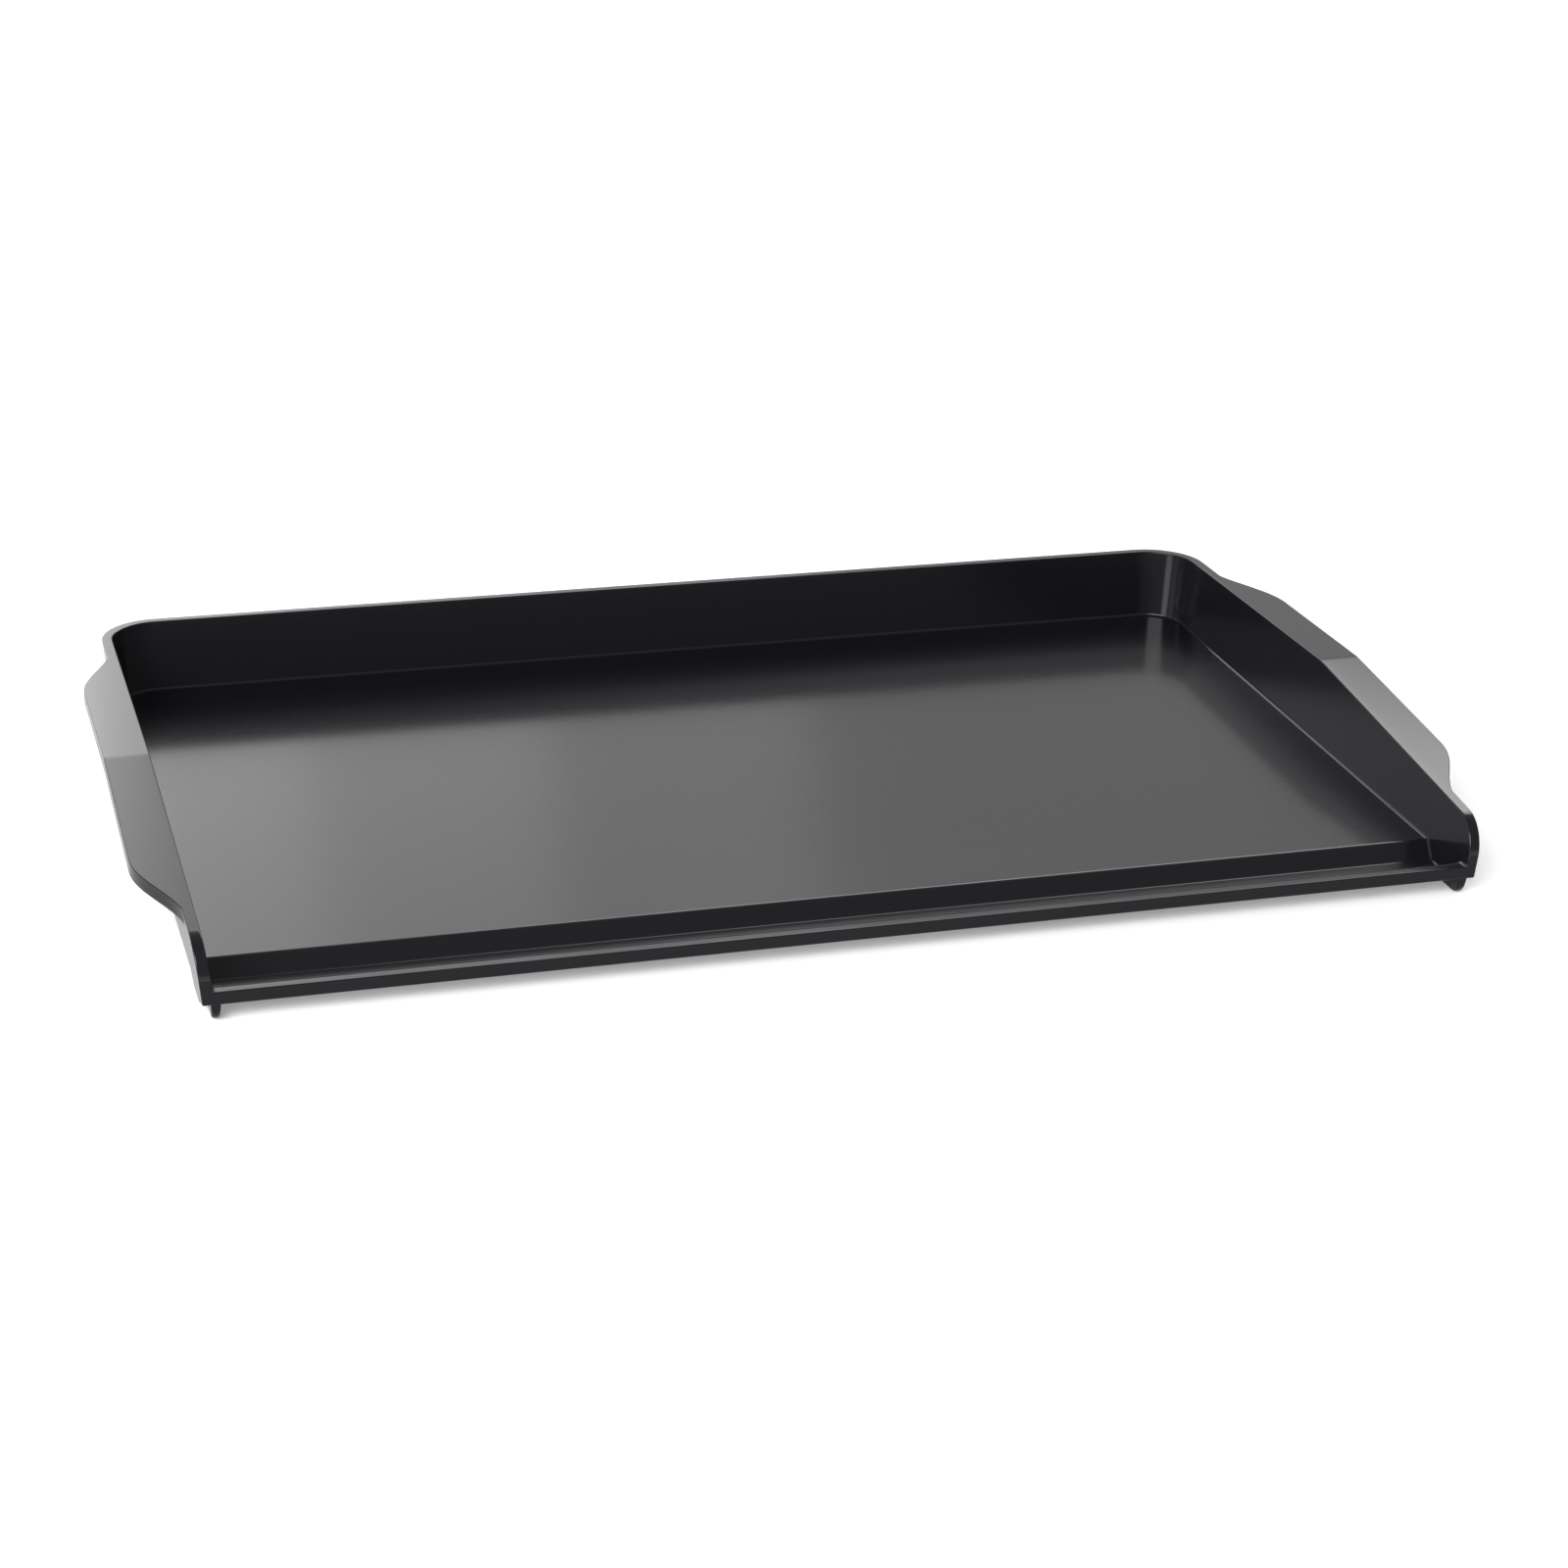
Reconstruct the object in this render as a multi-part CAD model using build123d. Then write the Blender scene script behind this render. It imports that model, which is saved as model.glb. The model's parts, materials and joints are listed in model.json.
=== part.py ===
from build123d import *
import math
import os

# Stovetop griddle with splash walls on three sides, two wing handles, and an open front
# that drains into a grease channel. X runs across it, +Y is the back and z = 0 is the
# level that its feet stand on. Heights named "rise" are measured from the cooking floor.

# Overall sizes, in millimetres
overall_width = 496.0
overall_depth = 293.0
floor_height = 9.6

# Casting
wall_thickness = 4.1
base_thickness = 4.0
wall_draft = 5.9
floor_half_width = 228.2
corner_radius = 16.0
root_radius = 1.5
heel_radius = 2.0

# Rim line, seen from the side: level runs that meet at a knee, and a rounded front end
knee_from_floor_edge = 110.0
rim_rise_knee = 31.2
rim_rise_back = 28.2
rim_rise_front = 18.0
rim_end_radius = 14.2

# Grease channel and lip, from the floor's front edge forwards
channel_reach = 31.1
channel_slope_run = 5.6
channel_flat_end = 14.0
channel_depth = 5.7
channel_wall = 2.9
lip_rise = 2.0
lip_top_depth = 4.4
lip_under_drop = 2.8
edge_round = 1.2
channel_back_round = 2.5
channel_front_round = 4.0
lip_round = 0.8

# Wing handles
handle_thickness = 5.0
handle_front_from_floor_edge = -9.0
handle_front_sweep = 43.0
handle_back_from_floor_edge = 230.0
handle_back_sweep = 50.0
sweep_tangent = 0.364

# Feet
foot_offset = 227.5
foot_width = 4.0
foot_toe_width = 2.6
front_foot_length = 20.0
rear_foot_length = 18.0
foot_round = 5.5

# Coating, and where one region of the casting stops and the next begins
coating_thickness = 0.3
seam_inset = 3.0
floor_seam = 2.0
lip_seam = 2.6
channel_seam = 0.7
margin = 30.0

# Derived places
front = -overall_depth / 2
back = overall_depth / 2
floor_front = front + channel_reach
lip_back = front + lip_top_depth
knee = floor_front + knee_from_floor_edge


def draft_run(rise):
    """How far a wall has leaned outwards at this rise."""
    return rise * math.tan(math.radians(wall_draft))


floor_back = back - wall_thickness - draft_run(rim_rise_back)
corner_start = floor_back - corner_radius
knee_to_back = back - knee
knee_to_front = knee - front


def plan_section(grow, rise):
    """Plan of the space inside the walls at one rise, grown outwards, open past the front."""
    half_width = floor_half_width + grow + draft_run(rise)
    back_edge = floor_back + grow + draft_run(rise)
    front_edge = front - margin
    section = Rectangle(2 * half_width, back_edge - front_edge)
    section = Pos(0, (front_edge + back_edge) / 2, floor_height + rise) * section
    rear_corners = section.vertices().sort_by(Axis.Y)[-2:]
    return fillet(rear_corners, corner_radius + grow + draft_run(rise))


def drafted_block(grow, low_rise, high_rise):
    """Solid inside the drafted walls between two rises."""
    return loft([plan_section(grow, low_rise), plan_section(grow, high_rise)], ruled=True)


def side_face(points, rounds):
    """Face in the YZ plane through (y, rise) points, with chosen corners rounded."""
    face = make_face(Polyline(*points, close=True))
    for corner, radius in rounds:
        vertex = face.vertices().sort_by_distance(corner)[0]
        face = fillet(vertex, radius)
    return face


def across(face, half_width):
    """Prism of a (y, rise) face across the part, symmetric about the middle."""
    return Pos(0, 0, floor_height) * extrude(Plane.YZ * face, half_width, both=True)


def rim_rise(y):
    """Rise of the rim line at one y."""
    if y > knee:
        return rim_rise_knee + (rim_rise_back - rim_rise_knee) * (y - knee) / knee_to_back
    return rim_rise_knee + (rim_rise_front - rim_rise_knee) * (knee - y) / knee_to_front


def save(solid, name):
    """Write one sub-part."""
    solid.label = name
    export_step(solid, f"parts/{name}.step")


# Side outline of the whole casting: base, channel bulge, nose, rounded wall end, rim line
channel_under = -channel_depth - channel_wall
body_outline = side_face(
    [
        (back + margin, -base_thickness),
        (floor_front + 1.0, -base_thickness),
        (floor_front - 3.5, channel_under),
        (floor_front - channel_flat_end - 2.0, channel_under),
        (front + 1.8, -lip_under_drop),
        (front, -lip_under_drop),
        (front, rim_rise(front)),
        (knee, rim_rise_knee),
        (back + margin, rim_rise(back + margin)),
    ],
    [
        ((front, rim_rise(front)), rim_end_radius),
        ((front, -lip_under_drop), lip_round),
    ],
)

# Side outline of the open space: over the lip, down into the channel, up over the floor
open_outline = side_face(
    [
        (front - margin, lip_rise),
        (lip_back, lip_rise),
        (floor_front - channel_flat_end, -channel_depth),
        (floor_front - channel_slope_run, -channel_depth),
        (floor_front, 0),
        (back + margin, 0),
        (back + margin, 2 * rim_rise_knee),
        (front - margin, 2 * rim_rise_knee),
    ],
    [
        ((lip_back, lip_rise), lip_round),
        ((floor_front - channel_flat_end, -channel_depth), channel_front_round),
        ((floor_front - channel_slope_run, -channel_depth), channel_back_round),
        ((floor_front, 0), edge_round),
    ],
)


def open_space(grow):
    """The space above the cooking surfaces, grown into the casting, with its root rounded."""
    outline = offset(open_outline, grow, kind=Kind.INTERSECTION) if grow else open_outline
    block = drafted_block(grow, channel_under - 2.0, 2 * rim_rise_knee)
    space = block & across(outline, overall_width)
    level = floor_height - grow
    floor_edges = space.edges().filter_by_position(Axis.Z, level - 0.01, level + 0.01)
    root = floor_edges.filter_by_position(Axis.Y, floor_front + 10.0, back)
    return fillet(root, root_radius + grow)


# Handles: a swept S at each end of a straight wing, in plan, as thick as the band below the rim
def wing_plan(side):
    """Plan of one wing handle, from inside the wall to its outer edge."""
    inner = floor_half_width
    root = floor_half_width + wall_thickness + draft_run(rim_rise_front)
    outer = overall_width / 2
    start = floor_front + handle_front_from_floor_edge
    end = floor_front + handle_back_from_floor_edge
    front_pull = sweep_tangent * handle_front_sweep
    back_pull = sweep_tangent * handle_back_sweep
    front_outer = start + handle_front_sweep
    back_outer = end - handle_back_sweep
    edges = [
        Line((inner, start), (root, start)),
        Bezier((root, start), (root, start + front_pull), (outer, front_outer - front_pull), (outer, front_outer)),
        Line((outer, front_outer), (outer, back_outer)),
        Bezier((outer, back_outer), (outer, back_outer + back_pull), (root, end - back_pull), (root, end)),
        Line((root, end), (inner, end)),
        Line((inner, end), (inner, start)),
    ]
    plan = make_face(edges)
    return plan if side > 0 else mirror(plan, Plane.YZ)


rim_band = side_face(
    [
        (front - margin, rim_rise(front - margin)),
        (knee, rim_rise_knee),
        (back + margin, rim_rise(back + margin)),
        (back + margin, rim_rise(back + margin) - handle_thickness),
        (knee, rim_rise_knee - handle_thickness),
        (front - margin, rim_rise(front - margin) - handle_thickness),
    ],
    [],
)
outer_block = drafted_block(wall_thickness, channel_under - 1.0, 2 * rim_rise_knee)
envelope = outer_block & across(body_outline, overall_width)


def wing(side):
    """One wing handle, meeting the outside of its wall."""
    slab = extrude(Pos(0, 0, floor_height) * wing_plan(side), 2 * rim_rise_knee)
    return (slab & across(rim_band, overall_width)) - outer_block


# The casting without its handles and feet, and the coating that fills its recess
coated_space = open_space(coating_thickness)
casting = envelope - coated_space
coating = (envelope & coated_space) - open_space(0)


# Regions that the casting is divided into
def region(x_low, x_high, y_low, y_high):
    """Upright box between two x and two y limits."""
    height = 3 * rim_rise_knee
    box = Box(x_high - x_low, y_high - y_low, height)
    return Pos((x_low + x_high) / 2, (y_low + y_high) / 2, floor_height) * box


seam_half_width = floor_half_width - seam_inset
floor_start = floor_front + floor_seam
floor_plan = plan_section(-seam_inset, 0)
floor_column = extrude(Pos(0, 0, -rim_rise_knee) * floor_plan, 2 * rim_rise_knee)
floor_region = floor_column & region(-overall_width, overall_width, floor_start, back)
front_start = front - margin
lip_end = front + lip_seam
front_slope_end = floor_front - channel_flat_end + channel_seam
rear_slope_start = floor_front - channel_slope_run - channel_seam
lip_region = region(-seam_half_width, seam_half_width, front_start, lip_end)
front_slope_region = region(-seam_half_width, seam_half_width, lip_end, front_slope_end)
trough_region = region(-seam_half_width, seam_half_width, front_slope_end, rear_slope_start)
rear_slope_region = region(-seam_half_width, seam_half_width, rear_slope_start, floor_start)
back_region = region(-overall_width, overall_width, corner_start, back + margin)
left_region = region(-overall_width, 0, front_start, corner_start)
right_region = region(0, overall_width, front_start, corner_start)
walls = casting - floor_region - region(-seam_half_width, seam_half_width, front_start, floor_start)


# Feet: thin fins with a rounded toe, standing below the walls near each corner
def foot(side, y_front, length, top_rise, front_round, back_round):
    """One fin, from its toe back, before the casting is cut from it."""
    toe = (y_front, -floor_height)
    heel = (y_front + length, -floor_height)
    profile = side_face(
        [toe, heel, (y_front + length, top_rise), (y_front, top_rise)],
        [(toe, front_round), (heel, back_round)],
    )
    top = floor_height + top_rise
    taper = make_face(
        Polyline(
            (-foot_toe_width / 2, 0),
            (foot_toe_width / 2, 0),
            (foot_width / 2, top),
            (-foot_width / 2, top),
            close=True,
        )
    )
    blade = extrude(Plane.XZ * taper, overall_depth, both=True)
    return Pos(side * foot_offset, 0, 0) * (across(profile, foot_width) & blade)


os.makedirs("parts", exist_ok=True)
save(casting & floor_region, "cooking_plate")
save(walls & back_region, "back_splash_wall")
save(walls & left_region, "left_splash_wall")
save(walls & right_region, "right_splash_wall")
save(wing(-1), "left_handle")
save(wing(1), "right_handle")
save(casting & rear_slope_region, "channel_rear_slope")
save(casting & trough_region, "channel_floor")
save(casting & front_slope_region, "channel_front_slope")
save(casting & lip_region, "front_lip")
save(coating, "nonstick_coating")
rear_foot_front = corner_start - rear_foot_length
for side, name in ((-1, "left"), (1, "right")):
    front_blade = foot(side, front + 0.4, front_foot_length, 0, foot_round, heel_radius)
    rear_blade = foot(side, rear_foot_front, rear_foot_length, 0, heel_radius, foot_round)
    save(front_blade - envelope, f"front_{name}_foot")
    save(rear_blade - envelope, f"rear_{name}_foot")
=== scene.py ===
import json
from math import atan, pi, radians, tan

import bmesh
import bpy
from mathutils import Matrix, Vector

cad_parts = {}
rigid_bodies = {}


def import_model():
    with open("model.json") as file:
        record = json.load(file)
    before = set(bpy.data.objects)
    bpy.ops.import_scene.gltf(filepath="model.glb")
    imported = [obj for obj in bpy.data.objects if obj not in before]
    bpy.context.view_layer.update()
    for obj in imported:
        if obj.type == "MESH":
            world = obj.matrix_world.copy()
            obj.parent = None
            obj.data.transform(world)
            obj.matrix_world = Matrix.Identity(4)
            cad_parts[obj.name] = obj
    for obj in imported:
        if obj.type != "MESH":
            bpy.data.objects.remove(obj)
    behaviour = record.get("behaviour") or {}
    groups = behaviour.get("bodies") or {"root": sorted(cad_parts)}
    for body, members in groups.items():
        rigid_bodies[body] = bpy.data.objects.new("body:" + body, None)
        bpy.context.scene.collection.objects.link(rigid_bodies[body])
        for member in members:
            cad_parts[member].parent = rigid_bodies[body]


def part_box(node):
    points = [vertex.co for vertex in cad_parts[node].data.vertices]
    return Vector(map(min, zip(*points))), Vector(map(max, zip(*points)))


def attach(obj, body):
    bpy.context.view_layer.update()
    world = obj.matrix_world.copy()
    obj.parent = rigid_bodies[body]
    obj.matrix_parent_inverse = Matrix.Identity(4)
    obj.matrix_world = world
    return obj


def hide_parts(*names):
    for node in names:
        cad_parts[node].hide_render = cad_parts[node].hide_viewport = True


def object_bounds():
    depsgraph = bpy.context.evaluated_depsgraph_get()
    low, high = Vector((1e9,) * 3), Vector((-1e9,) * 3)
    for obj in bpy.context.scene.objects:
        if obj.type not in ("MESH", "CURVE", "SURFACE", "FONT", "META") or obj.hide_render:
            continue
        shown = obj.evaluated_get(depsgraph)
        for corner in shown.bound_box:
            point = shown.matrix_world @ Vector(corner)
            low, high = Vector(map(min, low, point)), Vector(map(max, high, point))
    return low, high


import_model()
cad_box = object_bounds()

# ---------------------------------------------------------------------------------------
# The blank of the casting. The real griddle is poured in one piece of aluminium, with
# walls about 4 mm thick on three sides that lean outwards so that it leaves its mould.
# Seen from the side its rim is almost level behind a knee, then falls to a rounded nose.
# ---------------------------------------------------------------------------------------
coat = 0.0003
wall = 0.0041
lean = tan(radians(5.9))
corner_radius = 0.016
overshoot = 0.03

low = Vector(cad_box[0])
high = Vector(cad_box[1])
front = low.y
back = high.y
floor_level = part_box("nonstick_coating")[0].z + 0.0057 + coat
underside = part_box("cooking_plate")[0].z
knee = front + 0.1411
rim_knee = high.z
rim_back = floor_level + 0.0282
rim_front = floor_level + 0.0180
floor_front = front + 0.0311
floor_half = 0.2282
floor_back = back - wall - lean * (rim_back - floor_level)
back_slope = (rim_back - rim_knee) / (back - knee)
front_slope = (rim_knee - rim_front) / (knee - front)


def edit(piece, mode="VERT"):
    """Open one piece for editing, with nothing in it selected."""
    bpy.ops.object.select_all(action="DESELECT")
    piece.select_set(True)
    bpy.context.view_layer.objects.active = piece
    bpy.ops.object.mode_set(mode="EDIT")
    bpy.ops.mesh.select_mode(type=mode)
    bpy.ops.mesh.select_all(action="DESELECT")


def choose(piece, kind, test):
    """Select the vertices, edges or faces of the piece in edit mode that pass a test."""
    bpy.ops.mesh.select_mode(type={"verts": "VERT", "edges": "EDGE", "faces": "FACE"}[kind])
    bpy.ops.mesh.select_all(action="DESELECT")
    shape = bmesh.from_edit_mesh(piece.data)
    for item in getattr(shape, kind):
        if test(item):
            item.select_set(True)
    shape.select_flush_mode()
    bmesh.update_edit_mesh(piece.data)


def close(piece):
    """Leave edit mode with every face pointing outwards."""
    bpy.ops.mesh.select_all(action="SELECT")
    bpy.ops.mesh.normals_make_consistent(inside=False)
    bpy.ops.object.mode_set(mode="OBJECT")
    return piece


def near(place, x=None, y=None, z=None, reach=2e-5):
    """True where a vertex stands at the given coordinates."""
    wanted = zip(place.co, (x, y, z))
    return all(goal is None or abs(value - goal) < reach for value, goal in wanted)


def drawn(name, points, rounds, direction):
    """A prism of a closed outline: drawn point by point, corners rounded, then extruded.

    Each rounded corner is (point, length taken from each side, number of steps).
    """
    bpy.ops.object.select_all(action="DESELECT")
    bpy.ops.mesh.primitive_plane_add(size=0.001, location=(0, 0, 0))
    piece = bpy.context.active_object
    piece.name = name
    edit(piece)
    bpy.ops.mesh.select_all(action="SELECT")
    bpy.ops.mesh.merge(type="CENTER")
    bpy.ops.transform.translate(value=points[0])
    for start, end in zip(points, points[1:]):
        step = Vector(end) - Vector(start)
        bpy.ops.mesh.extrude_region_move(TRANSFORM_OT_translate={"value": step})
    bpy.ops.mesh.select_all(action="SELECT")
    bpy.ops.mesh.edge_face_add()
    for corner, length, steps in rounds:
        choose(piece, "verts", lambda v: (v.co - Vector(corner)).length < 2e-5)
        bpy.ops.mesh.bevel(offset=length, segments=steps, affect="VERTICES")
    bpy.ops.mesh.select_all(action="SELECT")
    bpy.ops.mesh.extrude_region_move(TRANSFORM_OT_translate={"value": direction})
    return close(piece)


def leaning_block(name, grow, bottom, top):
    """A block in the plan of the pan, wider as it rises: two rounded outlines, bridged."""
    bpy.ops.object.select_all(action="DESELECT")
    bpy.ops.mesh.primitive_plane_add(size=1, location=(0, 0, 0))
    piece = bpy.context.active_object
    piece.name = name
    edit(piece)
    bpy.ops.mesh.select_all(action="SELECT")
    for level in (bottom, top):
        if level == top:
            bpy.ops.mesh.select_all(action="DESELECT")
            bpy.ops.mesh.primitive_plane_add(size=1, location=(0, 0, 0))
        spread = grow + lean * (level - floor_level)
        half = floor_half + spread
        far = floor_back + spread
        start = front - overshoot
        bpy.ops.transform.resize(value=(2 * half, far - start, 1), center_override=(0, 0, 0))
        bpy.ops.transform.translate(value=(0, (far + start) / 2, level))
        choose(piece, "verts", lambda v: near(v, y=far, z=level))
        bpy.ops.mesh.bevel(offset=corner_radius + spread, segments=20, affect="VERTICES")
    bpy.ops.mesh.select_mode(type="EDGE")
    bpy.ops.mesh.select_all(action="SELECT")
    bpy.ops.mesh.delete(type="ONLY_FACE")
    bpy.ops.mesh.select_all(action="SELECT")
    bpy.ops.mesh.bridge_edge_loops()
    for level in (bottom, top):
        choose(piece, "edges", lambda e: all(near(v, z=level) for v in e.verts))
        bpy.ops.mesh.edge_face_add()
    return close(piece)


def carve(piece, tool, operation, keep_tool=False):
    """Cut, trim or join one closed shape with another."""
    bpy.ops.object.select_all(action="DESELECT")
    bpy.context.view_layer.objects.active = piece
    piece.select_set(True)
    cut = piece.modifiers.new("cut", "BOOLEAN")
    cut.operation = operation
    cut.solver = "EXACT"
    cut.object = tool
    bpy.ops.object.modifier_apply(modifier=cut.name)
    if not keep_tool:
        bpy.data.objects.remove(tool)
    return piece


far = back + overshoot
nose_radius = 0.0142
end_tangent = nose_radius * tan((pi / 2 - atan(front_slope)) / 2)
block_bottom = low.z - 0.002
block_top = rim_knee + 0.02
channel_under = floor_level - 0.0086
nose_under = floor_level - 0.0028
casting = leaning_block("casting", wall, block_bottom, block_top)
side_outline = [
    (0, far, underside),
    (0, floor_front + 0.001, underside),
    (0, floor_front - 0.0035, channel_under),
    (0, floor_front - 0.0160, channel_under),
    (0, front + 0.0018, nose_under),
    (0, front, nose_under),
    (0, front, rim_front),
    (0, knee, rim_knee),
    (0, far, rim_knee + back_slope * (far - knee)),
]
side_rounds = [
    (side_outline[1], 0.0015, 4),
    (side_outline[2], 0.0015, 4),
    (side_outline[3], 0.0020, 4),
    (side_outline[4], 0.0006, 2),
    (side_outline[5], 0.0008, 4),
    (side_outline[6], end_tangent, 16),
    (side_outline[7], 0.0015, 4),
]
half = 0.26
outline = [(-half, y, z) for x, y, z in side_outline]
rounds = [((-half, *place[1:]), length, steps) for place, length, steps in side_rounds]
carve(casting, drawn("side", outline, rounds, (2 * half, 0, 0)), "INTERSECT")

# ---------------------------------------------------------------------------------------
# The cooking side, hollowed out of the blank: a flat floor, the grease channel along its
# open front edge, and the lip beyond it. The corners inside follow the mould's radius, and
# every edge is broken by the polishing that the casting gets before it is coated.
# ---------------------------------------------------------------------------------------
root_round = 0.0010
edge_break = 0.0005
lip_back = front + 0.0044
lip_level = floor_level + 0.0020
channel_level = floor_level - 0.0057

space = leaning_block("space", 0, floor_level - 0.012, rim_knee + 0.03)
top = rim_knee + 0.022
open_outline = [
    (-half, front - 0.02, lip_level),
    (-half, lip_back, lip_level),
    (-half, floor_front - 0.0140, channel_level),
    (-half, floor_front - 0.0056, channel_level),
    (-half, floor_front, floor_level),
    (-half, far, floor_level),
    (-half, far, top),
    (-half, front - 0.02, top),
]
open_rounds = [
    (open_outline[1], 0.0014, 6),
    (open_outline[2], 0.0014, 6),
    (open_outline[3], 0.0006, 6),
    (open_outline[4], 0.0009, 6),
]
carve(space, drawn("opening", open_outline, open_rounds, (2 * half, 0, 0)), "INTERSECT")


def is_side(face):
    """True for a face of the open space that lies along a wall."""
    return -0.2 < face.normal.z < -0.02 and face.normal.y > -0.5


edit(space, "EDGE")
choose(
    space,
    "edges",
    lambda e: sum(is_side(f) for f in e.link_faces) == 1
    and sum(f.normal.z < -0.2 and abs(f.normal.x) < 0.01 for f in e.link_faces) == 1,
)
bpy.ops.mesh.bevel(offset=root_round, segments=6, clamp_overlap=False)
close(space)
carve(casting, space, "DIFFERENCE")

edit(casting, "EDGE")
bpy.ops.mesh.select_all(action="SELECT")
bpy.ops.mesh.remove_doubles(threshold=1e-6)
bpy.ops.object.mode_set(mode="OBJECT")
edges = bmesh.new()
edges.from_mesh(casting.data)
share = edges.edges.layers.float.new("bevel_weight_edge")
for edge in edges.edges:
    if edge.calc_face_angle(0) > radians(38):
        edge[share] = 1.0
edges.to_mesh(casting.data)
edges.free()
broken = casting.modifiers.new("broken_edges", "BEVEL")
broken.limit_method = "WEIGHT"
broken.width = edge_break
broken.segments = 5
broken.use_clamp_overlap = False
bpy.ops.object.modifier_apply(modifier=broken.name)

# ---------------------------------------------------------------------------------------
# The two handles: flat wings cast on to the outside of the side walls, level with the rim
# and about 5 mm thick. An S curve leads into each end of the wing from the wall.
# ---------------------------------------------------------------------------------------
handle_thickness = 0.0050
handle_break = 0.0004
wing_start = floor_front - 0.0105
wing_end = floor_front + 0.230
wing_edge = high.x
wall_edge = floor_half + wall + lean * 0.0120
wing_root = 0.2329
front_sweep = 0.0445
back_sweep = 0.050
sweep = 0.364
plan_level = 0.01

band_top = [
    (-half, front - 0.02, rim_front - front_slope * 0.02),
    (-half, knee, rim_knee),
    (-half, far, rim_knee + back_slope * (far - knee)),
]
band = band_top + [(x, y, z - handle_thickness) for x, y, z in reversed(band_top)]
knees = [(band[1], 0.0015, 4), (band[4], 0.0015, 4)]


def swept(start, end, steps=16):
    """Points of an S curve that leaves and arrives along the wall."""
    length = end[1] - start[1]
    reach = sweep * length
    points = []
    for count in range(1, steps):
        t = count / steps
        ease = 3 * t * t - 2 * t ** 3
        run = 3 * (1 - t) ** 2 * t * reach + 3 * (1 - t) * t * t * (length - reach)
        x = start[0] + (end[0] - start[0]) * ease
        y = start[1] + run + t ** 3 * length
        points.append((x, y, plan_level))
    return points


wings = {}
for side, name in ((-1, "left"), (1, "right")):
    front_s = [
        (side * wall_edge, wing_start, plan_level),
        (side * wing_edge, wing_start + front_sweep, plan_level),
    ]
    back_s = [
        (side * wing_edge, wing_end - back_sweep, plan_level),
        (side * wall_edge, wing_end, plan_level),
    ]
    plan = [(side * wing_root, wing_start, plan_level), front_s[0]]
    plan += swept(*front_s) + [front_s[1], back_s[0]] + swept(*back_s) + [back_s[1]]
    plan += [(side * wing_root, wing_end, plan_level)]
    handle = drawn(name + "_wing", plan, [], (0, 0, 0.05))
    carve(handle, drawn("band", band, knees, (2 * half, 0, 0)), "INTERSECT")
    edit(handle, "EDGE")
    choose(
        handle,
        "edges",
        lambda e: e.calc_face_angle(0) > radians(60)
        and sum(abs(f.normal.z) > 0.9 for f in e.link_faces) == 1
        and all(abs(v.co.x) > wing_root + 0.0001 for v in e.verts),
    )
    bpy.ops.mesh.bevel(offset=handle_break, segments=5, clamp_overlap=False)
    close(handle)
    wings[name] = handle

# ---------------------------------------------------------------------------------------
# The non-stick coating. It is sprayed over everything that faces upwards: the floor, the
# channel, the walls, the rim and the tops of the handles, and it stops where an edge has
# turned to the side. One continuous skin about 0.3 mm thick, and the metal lies below it.
# ---------------------------------------------------------------------------------------
coated_slope = 0.05
metal_drop = 0.00024


def twin(piece, name):
    """A copy of a piece with a mesh of its own."""
    bpy.ops.object.select_all(action="DESELECT")
    piece.select_set(True)
    bpy.context.view_layer.objects.active = piece
    bpy.ops.object.duplicate()
    copy = bpy.context.active_object
    copy.name = name
    return copy


def make_room(piece):
    """Lower the coated faces of a metal piece, so that they lie just below the coating."""
    edit(piece, "FACE")
    choose(piece, "faces", lambda f: f.normal.z > coated_slope)
    bpy.ops.mesh.select_mode(type="VERT")
    bpy.ops.mesh.select_less()
    bpy.ops.transform.shrink_fatten(value=-metal_drop)
    close(piece)


def smooth(piece):
    """Shade a cast piece as rounded, with its flat faces kept flat."""
    bpy.ops.object.select_all(action="DESELECT")
    piece.select_set(True)
    bpy.context.view_layer.objects.active = piece
    bpy.ops.object.shade_smooth_by_angle(angle=radians(34))
    shading = piece.modifiers.new("flats", "WEIGHTED_NORMAL")
    shading.mode = "FACE_AREA"
    shading.weight = 50
    shading.keep_sharp = True
    bpy.ops.object.modifier_apply(modifier=shading.name)


skin = twin(casting, "nonstick_coating_skin")
for handle in wings.values():
    carve(skin, handle, "UNION", keep_tool=True)
edit(skin, "VERT")
bpy.ops.mesh.select_all(action="SELECT")
bpy.ops.mesh.remove_doubles(threshold=2e-6)
choose(skin, "faces", lambda f: f.normal.z < coated_slope)
bpy.ops.mesh.delete(type="FACE")
bpy.ops.object.mode_set(mode="OBJECT")
thick = skin.modifiers.new("thickness", "SOLIDIFY")
thick.thickness = coat
thick.offset = -1
thick.use_even_offset = True
bpy.ops.object.modifier_apply(modifier=thick.name)
smooth(skin)

# The coating's finish: deep black and satin, with the fine streaks of the spray passes.
coating = bpy.data.materials.new("satin_nonstick_coating")
coating.use_nodes = True
tree = coating.node_tree
shader = tree.nodes["Principled BSDF"]
shader.inputs["Base Color"].default_value = (0.0050, 0.0050, 0.0072, 1)
shader.inputs["IOR"].default_value = 1.12
shader.inputs["Coat Weight"].default_value = 1.0
shader.inputs["Coat Roughness"].default_value = 0.14
shader.inputs["Coat IOR"].default_value = 1.34
place = tree.nodes.new("ShaderNodeTexCoord")
stretch = tree.nodes.new("ShaderNodeMapping")
stretch.inputs["Scale"].default_value = (40, 900, 900)
streaks = tree.nodes.new("ShaderNodeTexNoise")
streaks.inputs["Scale"].default_value = 1.0
streaks.inputs["Detail"].default_value = 4.0
spread = tree.nodes.new("ShaderNodeMapRange")
spread.inputs["To Min"].default_value = 0.345
spread.inputs["To Max"].default_value = 0.365
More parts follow.
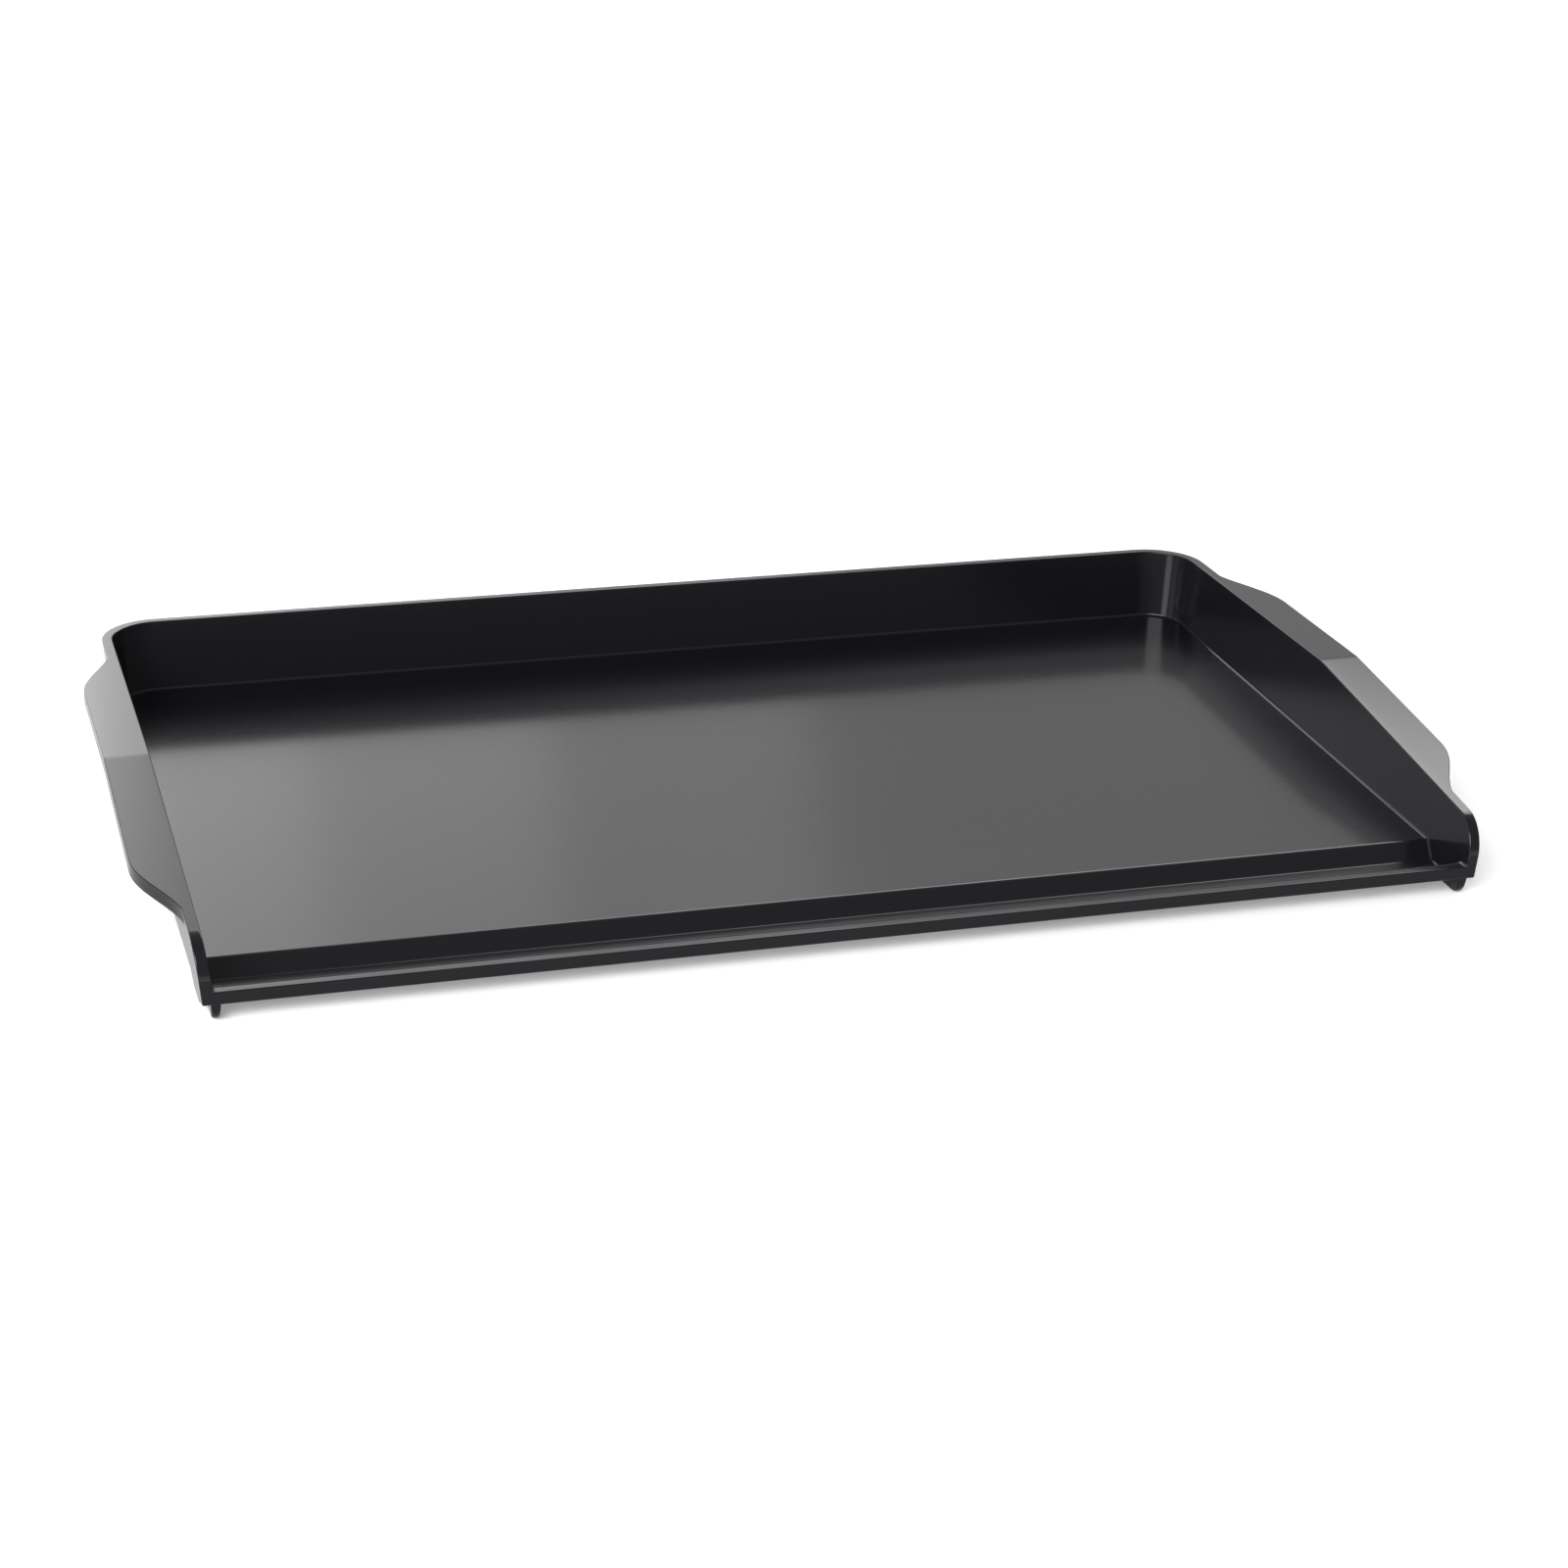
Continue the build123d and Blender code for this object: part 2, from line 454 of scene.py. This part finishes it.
grain = tree.nodes.new("ShaderNodeTexNoise")
grain.inputs["Scale"].default_value = 2200.0
grain.inputs["Detail"].default_value = 2.0
relief = tree.nodes.new("ShaderNodeBump")
relief.inputs["Strength"].default_value = 0.05
relief.inputs["Distance"].default_value = 0.00003
tree.links.new(place.outputs["Object"], stretch.inputs["Vector"])
tree.links.new(stretch.outputs["Vector"], streaks.inputs["Vector"])
tree.links.new(streaks.outputs["Fac"], spread.inputs["Value"])
tree.links.new(spread.outputs["Result"], shader.inputs["Roughness"])
tree.links.new(place.outputs["Object"], grain.inputs["Vector"])
tree.links.new(grain.outputs["Fac"], relief.inputs["Height"])
tree.links.new(relief.outputs["Normal"], shader.inputs["Normal"])
skin.data.materials.clear()
skin.data.materials.append(coating)
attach(skin, "root")
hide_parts("nonstick_coating")

# ---------------------------------------------------------------------------------------
# The feet: thin fins cast under the walls near each corner, which hold the griddle just
# clear of the cooker. The front pair have a rounded toe; each is widest where it joins.
# ---------------------------------------------------------------------------------------
corner_start = floor_back - corner_radius
foot_middle = 0.2275
foot_toe_half = 0.0013
foot_root_half = 0.0020
foot_round = 0.0009
foot_edges_below = 0.007


def fin(name, side, outline, toe, heel):
    """One foot: a tapering blade, trimmed to its side outline and fitted to the casting."""
    middle = side * foot_middle
    start, end = outline[0][0], outline[1][0]
    blade = [
        (middle - foot_toe_half, start - 0.001, 0),
        (middle + foot_toe_half, start - 0.001, 0),
        (middle + foot_root_half, start - 0.001, floor_level),
        (middle - foot_root_half, start - 0.001, floor_level),
    ]
    foot = drawn(name, blade, [], (0, end - start + 0.002, 0))
    shape = [(middle - 0.004, y, z) for y, z in outline]
    corners = [(shape[0], toe, 8), (shape[1], heel, 8)]
    carve(foot, drawn("shape", shape, corners, (0.008, 0, 0)), "INTERSECT")
    edit(foot)
    choose(
        foot,
        "edges",
        lambda e: e.calc_face_angle(0) > radians(60)
        and all(v.co.z < foot_edges_below for v in e.verts),
    )
    bpy.ops.mesh.bevel(offset=foot_round, segments=4, clamp_overlap=False)
    close(foot)
    carve(foot, casting, "DIFFERENCE", keep_tool=True)
    smooth(foot)
    return foot


# The metal's finish: cast aluminium under a thin black high-heat enamel, slightly grainier.
enamel = bpy.data.materials.new("black_enamelled_casting")
enamel.use_nodes = True
tree = enamel.node_tree
shader = tree.nodes["Principled BSDF"]
shader.inputs["Base Color"].default_value = (0.0055, 0.0055, 0.0075, 1)
shader.inputs["IOR"].default_value = 1.25
place = tree.nodes.new("ShaderNodeTexCoord")
mottle = tree.nodes.new("ShaderNodeTexNoise")
mottle.inputs["Scale"].default_value = 420.0
mottle.inputs["Detail"].default_value = 3.0
spread = tree.nodes.new("ShaderNodeMapRange")
spread.inputs["To Min"].default_value = 0.19
spread.inputs["To Max"].default_value = 0.27
relief = tree.nodes.new("ShaderNodeBump")
relief.inputs["Strength"].default_value = 0.12
relief.inputs["Distance"].default_value = 0.0001
tree.links.new(place.outputs["Object"], mottle.inputs["Vector"])
tree.links.new(mottle.outputs["Fac"], spread.inputs["Value"])
tree.links.new(spread.outputs["Result"], shader.inputs["Roughness"])
tree.links.new(mottle.outputs["Fac"], relief.inputs["Height"])
tree.links.new(relief.outputs["Normal"], shader.inputs["Normal"])


def cast_metal(piece, node):
    """Finish a piece of the casting and let it stand for its node."""
    piece.data.materials.clear()
    piece.data.materials.append(enamel)
    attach(piece, "root")
    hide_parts(node)


front_outline = [
    (front + 0.0004, 0),
    (front + 0.0204, 0),
    (front + 0.0204, 0.003),
    (front + 0.0140, 0.003),
    (front + 0.0044, 0.0095),
    (front + 0.0004, 0.0095),
]
rear_outline = [
    (corner_start - 0.018, 0),
    (corner_start, 0),
    (corner_start, 0.008),
    (corner_start - 0.018, 0.008),
]
for side, name in ((-1, "left"), (1, "right")):
    front_foot = fin(f"front_{name}_foot_fin", side, front_outline, 0.0055, 0.002)
    rear_foot = fin(f"rear_{name}_foot_fin", side, rear_outline, 0.002, 0.0055)
    cast_metal(front_foot, f"front_{name}_foot")
    cast_metal(rear_foot, f"rear_{name}_foot")

# ---------------------------------------------------------------------------------------
# The handles, trimmed where they meet the walls, and the regions of the one casting. The
# seams between regions lie on flat metal, mostly under the coating, so none is seen.
# ---------------------------------------------------------------------------------------
shell = leaning_block("shell", wall, block_bottom, block_top)
for name, handle in wings.items():
    carve(handle, shell, "DIFFERENCE", keep_tool=True)
    make_room(handle)
    handle.name = f"{name}_handle_wing"
    smooth(handle)
    cast_metal(handle, f"{name}_handle")
bpy.data.objects.remove(shell)

make_room(casting)

cut_bottom = -0.01
cut_height = 0.08


def block(name, x_low, x_high, y_low, y_high):
    """An upright box between two x and two y limits, to cut a region out of the casting."""
    outline = [(x_low, y_low), (x_high, y_low), (x_high, y_high), (x_low, y_high)]
    return drawn(name, [(x, y, cut_bottom) for x, y in outline], [], (0, 0, cut_height))


seam = floor_half - 0.003
plate_start = floor_front + 0.002
plate_end = floor_back - 0.003
lip_end = front + 0.0026
front_slope_end = floor_front - 0.0133
rear_slope_start = floor_front - 0.0063

plate_outline = [
    (-seam, plate_start, cut_bottom),
    (seam, plate_start, cut_bottom),
    (seam, plate_end, cut_bottom),
    (-seam, plate_end, cut_bottom),
]
plate_rounds = [(plate_outline[2], 0.013, 16), (plate_outline[3], 0.013, 16)]
plate_column = drawn("plate_column", plate_outline, plate_rounds, (0, 0, cut_height))
plate = carve(twin(casting, "cooking_plate_cast"), plate_column, "INTERSECT", keep_tool=True)
walls = carve(twin(casting, "walls"), plate_column, "DIFFERENCE")
carve(walls, block("front_gap", -seam, seam, front - 0.01, plate_start), "DIFFERENCE")
regions = {"cooking_plate": plate}
for node, limits in (
    ("back_splash_wall", (-0.3, 0.3, corner_start, 0.2)),
    ("left_splash_wall", (-0.3, 0, -0.2, corner_start)),
    ("right_splash_wall", (0, 0.3, -0.2, corner_start)),
):
    regions[node] = carve(twin(walls, f"{node}_cast"), block("part", *limits), "INTERSECT")
bpy.data.objects.remove(walls)
for node, start, end in (
    ("front_lip", front - 0.01, lip_end),
    ("channel_front_slope", lip_end, front_slope_end),
    ("channel_floor", front_slope_end, rear_slope_start),
    ("channel_rear_slope", rear_slope_start, plate_start),
):
    part = block("part", -seam, seam, start, end)
    regions[node] = carve(twin(casting, f"{node}_cast"), part, "INTERSECT")
bpy.data.objects.remove(casting)
for node, piece in regions.items():
    smooth(piece)
    cast_metal(piece, node)

# ---------------------------------------------------------------------------------------
# The studio: a wide pale table that glows faintly, a soft window behind and to the left, a
# light above and behind, and the camera a little over a metre in front of the griddle.
# ---------------------------------------------------------------------------------------
bpy.ops.object.select_all(action="DESELECT")
bpy.ops.mesh.primitive_plane_add(size=16, location=(0, 0, 0))
table = bpy.context.active_object
table.name = "studio_table"
pale = bpy.data.materials.new("pale_table_paper")
pale.use_nodes = True
tree = pale.node_tree
tree.nodes["Principled BSDF"].inputs["Base Color"].default_value = (0.88, 0.88, 0.885, 1)
tree.nodes["Principled BSDF"].inputs["Emission Color"].default_value = (1, 1, 1, 1)
tree.nodes["Principled BSDF"].inputs["Emission Strength"].default_value = 0.28
tree.nodes["Principled BSDF"].inputs["Roughness"].default_value = 0.9
tree.nodes["Principled BSDF"].inputs["Specular IOR Level"].default_value = 0.1
table.data.materials.append(pale)

sky = bpy.data.worlds.new("studio_room")
sky.use_nodes = True
sky.node_tree.nodes["Background"].inputs["Color"].default_value = (1.0, 1.0, 1.0, 1)
sky.node_tree.nodes["Background"].inputs["Strength"].default_value = 0.4
bpy.context.scene.world = sky


def softbox(name, place, target, width, height, brightness):
    """A flat soft light of the given size, facing its target, as bright all over as asked."""
    bpy.ops.object.light_add(type="AREA", location=place)
    light = bpy.context.active_object
    light.name = name
    light.rotation_euler = (Vector(target) - Vector(place)).to_track_quat("-Z", "Y").to_euler()
    light.data.shape = "RECTANGLE"
    light.data.size = width
    light.data.size_y = height
    light.data.energy = brightness * pi * width * height


window_start = -0.8
softbox("wall_behind", (1.4, 4.0, 2.05), (0, 0, 0), 4.4, 2.4, 0.23)
for edge, brightness in ((0.12, 1.84), (0.45, 0.50), (0.85, 0.48), (1.30, 0.40)):
    middle = (edge + window_start) / 2
    softbox("window_pane", (middle, 4.0, 2.0), (0, 0, 0), edge - window_start, 2.2, brightness)
softbox("window_low", (-1.9, 4.0, 0.95), (0, 0, 0.1), 2.0, 1.2, 1.4)
softbox("window_left", (-3.6, 1.4, 1.0), (0, 0, 0.1), 4.4, 1.5, 1.7)
softbox("strip_left", (-3.1, -1.25, 0.75), (0, 0, 0.1), 1.0, 1.2, 7.0)
softbox("light_behind_right", (2.5, 4.0, 4.1), (0, 0, 0), 3.4, 2.4, 4.7)
softbox("light_front_left", (-1.95, -2.15, 2.0), (0, -0.15, 0), 2.6, 1.4, 12.0)

bpy.ops.object.camera_add(location=(-0.3457, -1.1685, 0.5140))
camera = bpy.context.active_object
turn = Matrix.Rotation(radians(-16.98), 4, "Z")
tilt = Matrix.Rotation(radians(90 - 22.63), 4, "X")
roll = Matrix.Rotation(radians(1.684), 4, "Z")
camera.rotation_euler = (turn @ tilt @ roll).to_euler()
camera.data.lens = 78.45
camera.data.sensor_width = 36
bpy.context.scene.camera = camera
bpy.context.scene.view_settings.view_transform = "Standard"
